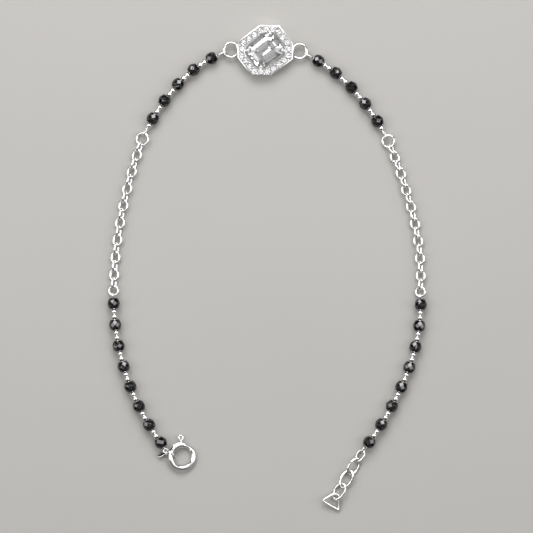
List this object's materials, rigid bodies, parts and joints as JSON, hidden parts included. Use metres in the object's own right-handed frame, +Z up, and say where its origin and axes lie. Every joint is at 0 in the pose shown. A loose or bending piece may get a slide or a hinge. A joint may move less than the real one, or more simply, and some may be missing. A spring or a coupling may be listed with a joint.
{
  "type": "beaded bracelet",
  "caption": "Open beaded bracelet: halo-set step-cut stone, strings of cut black beads, cable chain, spring-ring clasp and extension links, laid flat as a loop",
  "frame": {"origin": "middle of the footprint, on the surface that the bracelet lies on", "axes": "+X to the right across the loop, +Y towards the centrepiece, +Z up from the surface"},
  "size_m": [0.0574, 0.0872, 0.0032],
  "materials": {
    "silver": "rhodium-plated silver, tumbled bright",
    "black_stone": "black stone, facet-cut and polished",
    "clear_stone": "clear cubic zirconia, step-cut and polished"
  },
  "bodies": {
    "bracelet": {"halo_setting": "silver", "centre_stone": "clear_stone", "upper_string_left": "silver", "upper_chain_ring_left": "silver", "cable_chain_left": "silver", "lower_chain_ring_left": "silver", "lower_string_left": "silver", "bead_left_01": "black_stone", "bead_left_02": "black_stone", "bead_left_03": "black_stone", "bead_left_04": "black_stone", "bead_left_05": "black_stone", "bead_left_06": "black_stone", "bead_left_07": "black_stone", "bead_left_08": "black_stone", "bead_left_09": "black_stone", "bead_left_10": "black_stone", "bead_left_11": "black_stone", "bead_left_12": "black_stone", "bead_left_13": "black_stone", "upper_string_right": "silver", "upper_chain_ring_right": "silver", "cable_chain_right": "silver", "lower_chain_ring_right": "silver", "lower_string_right": "silver", "bead_right_01": "black_stone", "bead_right_02": "black_stone", "bead_right_03": "black_stone", "bead_right_04": "black_stone", "bead_right_05": "black_stone", "bead_right_06": "black_stone", "bead_right_07": "black_stone", "bead_right_08": "black_stone", "bead_right_09": "black_stone", "bead_right_10": "black_stone", "bead_right_11": "black_stone", "bead_right_12": "black_stone", "bead_right_13": "black_stone", "extension_link_1": "silver", "extension_link_2": "silver", "extension_link_3": "silver", "extension_link_4": "silver", "end_triangle": "silver", "clasp_ring": "silver", "clasp_jump_ring": "silver", "clasp_tag": "silver"},
    "clasp_bolt": {"clasp_bolt": "silver"}
  },
  "joints": [
    {"name": "catch", "type": "hinge", "parent": "bracelet", "child": "clasp_bolt", "pos_m": [-0.0153, -0.03389, 0.00078], "axis": [0.1392, 0, 0.9903], "range_deg": [0, 33], "stiffness_Nm_per_rad": 0.0004, "springref_deg": -11.46}
  ]
}
